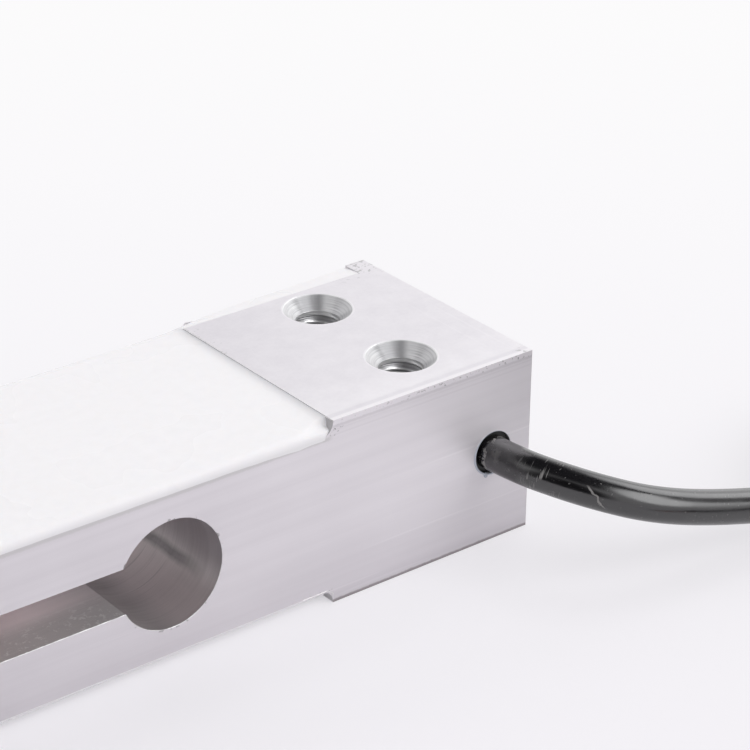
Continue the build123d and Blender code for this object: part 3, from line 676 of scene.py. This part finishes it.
def recess_silicone_grid():
    """Points of the recess's silicone as a grid, along the beam by across it, and the grid's shape.
    Across the beam a profile goes up the near wall over a thin lip, over a ridge, along the flat top
    and down the far slope. Towards the lands the near points move inwards, by a quarter ellipse on
    the wall and by a smooth step on the ridge, and the top rises to the lands by an exponential."""
    profile = np.array([
        (-14.90, 20.29), (-14.98, 20.30), (-15.05, 20.34), (-15.05, 20.55), (-15.03, 20.78), (-14.97, 21.02),
        (-14.88, 21.17), (-14.75, 21.29), (-14.50, 21.40), (-14.20, 21.45), (-13.60, 21.45), (-12.50, 21.47),
        (-8.0, 21.49), (0.0, 21.52), (8.0, 21.50), (12.0, 21.50), (12.8, 21.50), (13.4, 21.40), (14.1, 21.08),
        (14.7, 20.70), (14.96, 20.48), (15.0, 20.40), (15.0, 20.29),
    ]) * MM
    steps = np.concatenate([[0], np.cumsum(np.hypot(*np.diff(profile, axis=0).T))])
    fine = np.unique(np.concatenate([np.linspace(0, steps[-1], 140), np.linspace(0, 3.2 * MM, 56), steps]))
    y_line = np.interp(fine, steps, profile[:, 0])
    z_line = np.interp(fine, steps, profile[:, 1])
    share = np.linspace(-1, 1, 261)
    share = np.sign(share) * (1 - (1 - np.abs(share)) ** 1.7)
    x, y = np.meshgrid(share * LAND_START, y_line, indexing="ij")
    z = np.broadcast_to(z_line, x.shape).copy()
    far_out = np.abs(x)
    gap = LAND_START - far_out
    lip = np.interp(far_out / MM, (0, 25, 33, 37.5), (0.06, 0.12, 0.33, 0.36)) * MM
    lip = lip * (1 + 0.25 * waviness(x, 5, 6 * MM))
    z -= lip * (z < FLOOR_Z + 0.06 * MM) * (y < -HALF_WIDTH + 0.06 * MM)
    on_ridge = smooth_step((z - 20.85 * MM) / (0.4 * MM))
    wall_share = np.clip((far_out - 35.9 * MM) / (1.6 * MM), 0, 1)
    wall_move = 0.78 * (1 - np.sqrt(1 - wall_share ** 2))
    ridge_most = np.interp(y / MM, (-14.75, -14.2, -13.6, -12.5, -11, -9), (1.35, 1.2, 1.0, 0.6, 0.15, 0.0))
    ridge_move = ridge_most * smooth_step((far_out - 32.5 * MM) / (5.0 * MM))
    near_side = smooth_step((-8 * MM - y) / (1 * MM))
    move = near_side * (wall_move * (1 - on_ridge) + ridge_move * on_ridge) * MM
    reach = 0.55 * MM + 0.5 * MM * smooth_step((y - 11 * MM) / (2 * MM))
    rise_to = np.minimum(channel_top(np.full_like(y, LAND_START), y), HEIGHT - 0.07 * MM)
    rise = (rise_to - z_line) * np.exp(-gap / reach)
    rise *= smooth_step((y + move + 14.25 * MM) / (0.8 * MM)) * (z > FLOOR_Z + 0.05 * MM)
    z += rise
    z += 0.02 * MM * waviness(x, 6, 14 * MM) * on_ridge * smooth_step(gap / (2 * MM))
    y = y + move
    y -= 0.02 * MM * waviness(x, 4, 9 * MM) * (y < -HALF_WIDTH + 0.5 * MM) * (z > FLOOR_Z)
    return np.stack([x, y, z], -1)


def recess_silicone(work):
    """Adds the silicone of the top recess to a mesh under construction, closed underneath and at
    both ends."""
    grid = recess_silicone_grid()
    rows, columns = grid.shape[:2]
    added = [work.verts.new(point) for point in grid.reshape(-1, 3)]
    for corners in grid_faces(rows, columns):
        work.faces.new([added[i] for i in corners])
    first = added[:columns]
    last = added[-columns:]
    feet = added[::columns] + added[columns - 1::columns][::-1]
    caps = [work.faces.new(loop) for loop in (first, last, feet)]
    bmesh.ops.triangulate(work, faces=caps)


def slice_mesh(work, place, direction, clear=False):
    """Cuts a mesh under construction by a plane and returns the new edges. With clear, the side that
    the direction points to is removed."""
    everything = work.verts[:] + work.edges[:] + work.faces[:]
    cut = bmesh.ops.bisect_plane(work, geom=everything, plane_co=place, plane_no=direction, clear_outer=clear)
    return [item for item in cut["geom_cut"] if isinstance(item, bmesh.types.BMEdge)]


def frame_silicone(cuts):
    """The frame's own top silicone with the outer side of each cutting plane removed and closed. A cut
    is a point and a direction that points to the side to remove."""
    part = bmesh.new()
    part.from_mesh(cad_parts["top_potting"].data)
    bmesh.ops.remove_doubles(part, verts=part.verts, dist=MERGE)
    for place, direction in cuts:
        bmesh.ops.holes_fill(part, edges=slice_mesh(part, place, direction, clear=True), sides=0)
    return part


def channel_silicone(work):
    """Adds the silicone below the recess's floor and in the wire channel: the frame's own, cut where
    the recess begins. The channel's share has more cuts along and across it, and its top is set to
    the channel's height."""
    pocket = frame_silicone([
        ((LAND_START, 0, 0), (1, 0, 0)), ((0, 0, FLOOR_Z + 0.005 * MM), (0, 0, 1)),
        ((25.2 * MM, 0, 0), (-1, 0, 0)), ((0, 11.0 * MM, 0), (0, -1, 0))])
    channel = frame_silicone([((LAND_START, 0, 0), (-1, 0, 0))])
    cuts = [((x * MM, 0, 0), (1, 0, 0)) for x in np.arange(38.0, 62.1, 0.5)]
    cuts += [((0, y * MM, 0), (0, 1, 0)) for y in np.arange(12.6, 14.9, 0.2)]
    cuts.append(((0, 0, 21.3 * MM), (0, 0, 1)))
    for place, direction in cuts:
        slice_mesh(channel, place, direction)
    bmesh.ops.remove_doubles(channel, verts=channel.verts, dist=MERGE)
    for vert in channel.verts:
        if vert.co.z > 21.4 * MM:
            vert.co.z = float(channel_top(vert.co.x, vert.co.y))
        elif vert.co.z > 21.2 * MM and vert.co.y > 14.0 * MM:
            vert.co.z = float(channel_top(vert.co.x, vert.co.y)) - 0.2 * MM
    for part in (pocket, channel):
        mesh = bpy.data.meshes.new("silicone part")
        part.to_mesh(mesh)
        part.free()
        work.from_mesh(mesh)
        bpy.data.meshes.remove(mesh)


def top_silicone():
    """The poured silicone of the top recess and of the wire channel beside the land."""
    work = bmesh.new()
    recess_silicone(work)
    channel_silicone(work)
    bmesh.ops.recalc_face_normals(work, faces=work.faces)
    mesh = bpy.data.meshes.new("silicone_top")
    work.to_mesh(mesh)
    work.free()
    drop_stored_normals(mesh)
    mesh.polygons.foreach_set("use_smooth", np.full(len(mesh.polygons), True))
    mesh.set_sharp_from_angle(angle=math.radians(50))
    mesh.materials.append(SILICONE)
    piece = linked("silicone_top", mesh)
    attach(piece, "root")
    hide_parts("top_potting")


# ---- Burrs and small beads

def burr_piece(name, corners, size, seed):
    """A thin bumpy tube along a line of points. Its radius is a size times a share between a fifth
    and one that rises and falls at random along the line."""
    lengths = np.concatenate([[0], np.cumsum(np.linalg.norm(np.diff(corners, axis=0), axis=1))])
    even = np.linspace(0, lengths[-1], max(12, int(lengths[-1] / (0.09 * MM))))
    line = np.stack([np.interp(even, lengths, corners[:, k]) for k in range(3)], -1)

    def radius_of(s, a):
        """The size times a random share, and thinner at both ends."""
        share = 0.55 + 0.35 * waviness(s, seed, 1.6 * MM) + 0.25 * waviness(s, seed + 1, 0.5 * MM)
        ends = smooth_step(np.minimum(s, lengths[-1] - s) / (0.8 * MM))
        lumps = 1 + 0.15 * np.cos(3 * a + s / (0.3 * MM))
        return size * np.clip(share, 0.2, 1.0) * (0.15 + 0.85 * ends) * lumps

    tube_piece(name, line, radius_of, BRIGHT_BURR, sides=8)


def cut_out_outline():
    """The lower edge of the bores and the slot on the cable side, from bore to bore."""
    meet = math.asin(SLOT_HEIGHT / 2 / BORE_RADIUS)
    radius = BORE_RADIUS - 0.015 * MM
    spans = ((BORE_X, math.radians(-8), -math.pi + meet), (-BORE_X, -meet, math.radians(-172)))
    arcs = []
    for centre, start, stop in spans:
        angles = np.linspace(start, stop, 90)
        x = centre + radius * np.cos(angles)
        z = MID_HEIGHT + radius * np.sin(angles)
        arcs.append(np.stack([x, np.full_like(x, -HALF_WIDTH - 0.005 * MM), z], -1))
    return np.concatenate(arcs)


def edge_burrs():
    """Burrs along the cut-out, at the step beside the silicone's near corner and at the notches
    underneath."""
    burr_piece("cut_out_burr", cut_out_outline(), 0.085 * MM, 21)
    near = -HALF_WIDTH
    rim = HEIGHT - 0.07 * MM
    for side, name in ((1, "cable_end"), (-1, "free_end")):
        x = side * LAND_START
        step = np.array([(x, near + 0.02 * MM, HEIGHT - 0.2 * MM), (x, near + 0.06 * MM, rim),
                         (x, -14.0 * MM, rim), (x, -12.4 * MM, rim)])
        burr_piece(f"step_burr_{name}", step, 0.06 * MM, 31 + side)
        notch = np.array([
            (x - side * 4.5 * MM, near, RECESS_DEPTH), (x - side * 0.8 * MM, near, RECESS_DEPTH),
            (x, near, RECESS_DEPTH - 0.5 * MM), (x, near, 0.2 * MM)])
        burr_piece(f"notch_burr_{name}", notch, 0.08 * MM, 41 + side)


def hole_lip():
    """A thin lip of clear adhesive round the cable in its hole: a ring whose radius is largest below
    and on the side towards the beam's middle, and a bead that has run out at its foot."""
    angles = np.linspace(0, 2 * math.pi, 140)
    ring_radius = CABLE_HOLE_RADIUS - 0.03 * MM
    ring = np.stack([CABLE_X + ring_radius * np.cos(angles), np.full_like(angles, -HALF_WIDTH),
                     MID_HEIGHT + ring_radius * np.sin(angles)], -1)

    def radius_of(s, a):
        """Between 0.03 and 0.13 mm, by the angle round the hole."""
        fullness = smooth_step((np.cos(s / ring_radius - math.radians(222)) + 0.35) / 1.2)
        return (0.03 + 0.10 * fullness * (1 + 0.2 * waviness(s, 51, 2 * MM))) * MM

    tube_piece("hole_lip", ring, radius_of, CLEAR_ADHESIVE, sides=12)
    down = np.linspace(0, math.pi, 24)
    turn = np.linspace(0, 2 * math.pi, 32, endpoint=False)
    u, v = np.meshgrid(down, turn, indexing="ij")
    size = np.array((0.26, 0.22, 0.34)) * MM
    place = np.array((58.64, -15.0, 8.50)) * MM
    points = place + size * np.stack([np.sin(u) * np.cos(v), np.sin(u) * np.sin(v), np.cos(u)], -1)
    bead = mesh_piece("adhesive_bead", points.reshape(-1, 3), grid_faces(24, 32, wrap_columns=True),
                      CLEAR_ADHESIVE)
    face_outwards(bead)


# ---- The cable

def cable_points():
    """The points that the cable's line is drawn to: lead-in, coil and tail. In the coil the radius and
    the height are smooth steps of the angle turned."""
    exit_point = (CABLE_X, -HALF_WIDTH, MID_HEIGHT)
    straight = 3.2 * MM
    second = (CABLE_X + straight * math.sin(CABLE_TILT), -HALF_WIDTH - straight * math.cos(CABLE_TILT),
              MID_HEIGHT)
    lead_in = np.array([(61.1, -22.4, 10.75), (64.2, -27.3, 9.85), (69.0, -30.9, 8.25), (76.9, -32.6, 5.95),
                        (89.6, -34.3, 3.15)]) * MM
    degrees = np.linspace(COIL_ENTRY, 890, 42)
    turned = np.radians(degrees)
    outer = COIL_RADIUS + CABLE_RADIUS
    inner = COIL_RADIUS - CABLE_RADIUS
    radius = outer - 1.3 * MM * smooth_step((20 - degrees) / 60)
    radius = radius + (inner - outer) * smooth_step((degrees - 255) / 65)
    radius = radius + (COIL_RADIUS - inner) * smooth_step((degrees - 525) / 85)
    height = COIL_LOW_Z + 0.4 * MM * smooth_step((20 - degrees) / 60)
    height = height + (COIL_TOP_Z - COIL_LOW_Z) * smooth_step((degrees - 525) / 80)
    height = height + 0.62 * MM * smooth_step((degrees - 600) / 32) * smooth_step((695 - degrees) / 32)
    height = height + 0.4 * MM * smooth_step((degrees - 870) / 20)
    coil = np.stack([COIL_X + radius * np.sin(turned), COIL_Y + radius * np.cos(turned), height], -1)
    tail = np.array([(104.0, -60.6, 7.1), (99.0, -60.8, 5.6), (91.5, -61.0, 2.55), (83.0, -60.3, 2.5)]) * MM
    return np.concatenate([[exit_point, second], lead_in, coil, tail])


def smooth_line(points):
    """The line of a NURBS spline of order 3 with these points as its control points."""
    curve = bpy.data.curves.new("cable line", "CURVE")
    curve.dimensions = "3D"
    curve.resolution_u = 24
    spline = curve.splines.new("NURBS")
    spline.points.add(len(points) - 1)
    weighted = np.concatenate([points, np.ones((len(points), 1))], 1)
    spline.points.foreach_set("co", weighted.ravel())
    spline.order_u = 3
    spline.use_endpoint_u = True
    holder = bpy.data.objects.new("cable line", curve)
    line_mesh = bpy.data.meshes.new_from_object(holder)
    line = read(line_mesh.vertices, "co", 3)
    bpy.data.meshes.remove(line_mesh)
    bpy.data.objects.remove(holder)
    bpy.data.curves.remove(curve)
    return line


def tube_piece(name, line, radius_of, material, sides=48):
    """A round tube along a line. Each ring stands square to the line and is turned as little as
    possible from the one before; radius_of gives the radius from length along and angle. The UV map
    is length in metres across and share of a turn up."""
    tangents = np.gradient(line, axis=0)
    tangents /= np.linalg.norm(tangents, axis=1, keepdims=True)
    normals = np.empty_like(line)
    first = np.cross(tangents[0], (0, 0, 1.0))
    normals[0] = first / np.linalg.norm(first)
    for k in range(1, len(line)):
        carried = normals[k - 1] - tangents[k] * np.dot(normals[k - 1], tangents[k])
        normals[k] = carried / np.linalg.norm(carried)
    sideways = np.cross(tangents, normals)
    length = np.concatenate([[0], np.cumsum(np.linalg.norm(np.diff(line, axis=0), axis=1))])
    angles = np.linspace(0, 2 * math.pi, sides, endpoint=False)
    s, a = np.meshgrid(length, angles, indexing="ij")
    outwards = np.cos(a)[..., None] * normals[:, None] + np.sin(a)[..., None] * sideways[:, None]
    rings = line[:, None] + radius_of(s, a)[..., None] * outwards
    faces = grid_faces(len(line), sides, wrap_columns=True)
    piece = mesh_piece(name, rings.reshape(-1, 3), faces, material)
    mesh = piece.data
    corner_points = read(mesh.loops, "vertex_index", 1, int)
    across = length[corner_points // sides]
    up = (corner_points % sides / sides).reshape(-1, 4)
    on_seam = (up.max(axis=1) - up.min(axis=1)) > 0.5
    up[on_seam] += up[on_seam] < 0.5
    uv = mesh.uv_layers.new(name="along")
    uv.data.foreach_set("uv", np.stack([across, up.ravel()], -1).ravel())
    work = bmesh.new()
    work.from_mesh(mesh)
    bmesh.ops.holes_fill(work, edges=work.edges, sides=sides)
    bmesh.ops.recalc_face_normals(work, faces=work.faces)
    work.to_mesh(mesh)
    work.free()
    return piece


def cable_piece():
    """The whole cable from its hole to the stripped end, with a slightly uneven jacket."""
    line = smooth_line(cable_points())

    def radius_of(s, a):
        """The cable's radius less up to 1 part in 150, by length and by angle."""
        return CABLE_RADIUS * (1 - 0.004 * (1 + waviness(s, 8, 30 * MM)) * (0.7 + 0.3 * np.cos(2 * a)))

    piece = tube_piece("cable_jacket", line, radius_of, JACKET)
    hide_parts("cable", "cable_coil", "cable_tail")


# ---- Finishes of the carried-over nodes

def dress_nodes():
    """Gives every node that stays as it is its finish."""
    black = plain_finish("black rubber", (0.012, 0.012, 0.012), 0.45)
    finishes = {
        "bottom_potting": SILICONE,
        "cable_inside": JACKET,
        "cable_seal": black,
        "cable_tie": plain_finish("black nylon", (0.018, 0.018, 0.018), 0.38),
        "end_sleeve": plain_finish("shrink sleeve", (0.016, 0.016, 0.016), 0.5),
    }
    insulation = {
        "red": (0.50, 0.03, 0.03), "black": (0.015, 0.015, 0.015), "green": (0.03, 0.30, 0.08),
        "white": (0.82, 0.82, 0.80),
    }
    for colour, value in insulation.items():
        finish = plain_finish(f"{colour} insulation", value, 0.35)
        finishes[f"free_core_{colour}"] = finish
        finishes[f"inner_core_{colour}"] = finish
    solder = plain_finish("solder", (0.72, 0.72, 0.72), 0.25, 1.0)
    copper = plain_finish("copper wire", (0.75, 0.42, 0.26), 0.3, 1.0)
    film = plain_finish("gauge film", (0.62, 0.33, 0.10), 0.35)
    board = plain_finish("board laminate", (0.10, 0.25, 0.11), 0.4)
    chip = plain_finish("resistor body", (0.03, 0.03, 0.035), 0.4)
    by_start = {
        "gauge_leads": copper, "link_wires": copper, "core_strands": copper, "shield_wire": copper,
        "gauge": film, "terminal_board": board, "solder": solder, "core_tips": solder, "trim_resistors": chip,
    }
    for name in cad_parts:
        for start, finish in by_start.items():
            if name.startswith(start):
                finishes.setdefault(name, finish)
    for name, finish in finishes.items():
        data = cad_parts[name].data
        data.materials.clear()
        data.materials.append(finish)


# ---- Studio

def floor_piece():
    """A wide pale floor that looks like the backdrop to the camera and keeps the object's shadow."""
    r = Recipe("studio floor")
    ray = r.add("ShaderNodeLightPath").outputs
    seen = r.most(ray["Is Camera Ray"], ray["Is Glossy Ray"], ray["Is Transmission Ray"])
    away = r.total(r.times(r.axis("X"), 0.62), r.times(r.axis("Y"), 0.78))
    far = r.span(away, -0.06, 0.20)
    diffuse = r.add("ShaderNodeBsdfDiffuse", {
        "Color": r.blend(far, (0.90, 0.885, 0.915, 1), (0.965, 0.96, 0.965, 1))})
    glow = r.add("ShaderNodeEmission", {
        "Color": r.blend(far, (0.925, 0.905, 0.95, 1), (0.972, 0.966, 0.972, 1)), "Strength": 1.0})
    glow_share = r.span(away, -0.01, 0.13, 0.50, 0.92)
    mix = r.add("ShaderNodeMixShader", {
        "Fac": r.times(seen, glow_share), 1: diffuse.outputs["BSDF"], 2: glow.outputs["Emission"]})
    r.feed(r.tree.nodes["Material Output"].inputs["Surface"], mix.outputs["Shader"])
    size = 4.0
    points = [(-size, -size, 0), (size, -size, 0), (size, size, 0), (-size, size, 0)]
    mesh = bpy.data.meshes.new("floor")
    mesh.from_pydata(points, [], [(0, 1, 2, 3)])
    mesh.materials.append(r.owner)
    floor = linked("floor", mesh)


# What shiny surfaces mirror besides the backdrop: azimuth, elevation, outer and inner angle, level.
STUDIO_PANELS = ((22, 38, 30, 21, 3.5), (94, 42, 24, 11, 3.0), (120, 13, 21, 8, 1.6), (60, 34, 16, 8, 0.4),
                 (-63, 12, 36, 24, 0.03))


def studio_world():
    """A pale surround. The camera sees the backdrop, glossy surfaces see the same backdrop with round
    light and dark panels under a darker ceiling, and everything else is lit evenly."""
    r = Recipe("studio", bpy.data.worlds.new("studio"))
    bpy.context.scene.world = r.owner
    ray = r.add("ShaderNodeLightPath").outputs
    direction = r.coordinates.outputs["Generated"]
    ceiling = r.span(r.axis("Z", "Generated"), 0.55, 0.85, kind="SMOOTHSTEP")
    mirrored = r.blend(ceiling, (0.95, 0.94, 0.955, 1), (0.04, 0.04, 0.045, 1))
    for azimuth, elevation, outer, inner, level in STUDIO_PANELS:
        side = math.radians(azimuth)
        rise = math.radians(elevation)
        towards = (math.sin(side) * math.cos(rise), -math.cos(side) * math.cos(rise), math.sin(rise))
        close = r.add("ShaderNodeVectorMath", {0: direction, 1: towards}, operation="DOT_PRODUCT")
        edge = (math.cos(math.radians(outer)), math.cos(math.radians(inner)))
        inside = r.span(close.outputs["Value"], *edge, kind="SMOOTHSTEP")
        mirrored = r.blend(inside, mirrored, (level, level, level * 1.01, 1))
    lit = r.blend(ray["Is Glossy Ray"], (0.66, 0.655, 0.665, 1), mirrored)
    background = r.tree.nodes["Background"]
    r.feed(background.inputs["Color"], r.blend(ray["Is Camera Ray"], lit, (0.962, 0.955, 0.965, 1)))
    background.inputs["Strength"].default_value = 1.0


def area_light(name, place, target, size, power):
    """A soft rectangular light at a place, facing a target. Lengths are in metres, power in watts."""
    data = bpy.data.lights.new(name, "AREA")
    data.shape = "RECTANGLE"
    data.size = size[0]
    data.size_y = size[1]
    data.energy = power
    light = linked(name, data)
    light.location = place
    light.visible_glossy = False
    light.rotation_euler = (Vector(target) - Vector(place)).to_track_quat("-Z", "Y").to_euler()


def photo_camera():
    """The camera at the photograph's place, turned about the upright, tipped down and rolled."""
    data = bpy.data.cameras.new("photo view")
    data.lens = LENS
    data.sensor_width = 36.0
    data.clip_start = 0.01
    camera = linked("photo view", data)
    turn = Matrix.Rotation(CAMERA_AZIMUTH, 4, "Z") @ Matrix.Rotation(math.pi / 2 - CAMERA_ELEVATION, 4, "X")
    camera.matrix_world = Matrix.Translation(CAMERA_PLACE) @ turn @ Matrix.Rotation(CAMERA_ROLL, 4, "Z")
    bpy.context.scene.camera = camera


photo_camera()
dress_nodes()
cable_piece()
beam_piece()
for end_name, end_x in (("free", -BOLT_X), ("cable", BOLT_X)):
    for side_name, side_y in (("near", -BOLT_Y), ("far", BOLT_Y)):
        threaded_sleeve(f"thread_{end_name}_{side_name}", end_x, side_y)
top_silicone()
edge_burrs()
hole_lip()
floor_piece()
studio_world()
AIM = (0.07, -0.03, 0.01)
area_light("right softbox", (0.51, -0.51, 0.48), AIM, (0.5, 0.4), 2.3)
area_light("left softbox", (-0.31, 0.54, 0.48), (0.06, -0.02, 0.01), (0.26, 0.26), 0.8)
area_light("top softbox", (0.50, 0.28, 0.68), AIM, (0.22, 0.22), 0.55)
bpy.context.scene.view_settings.view_transform = "Standard"
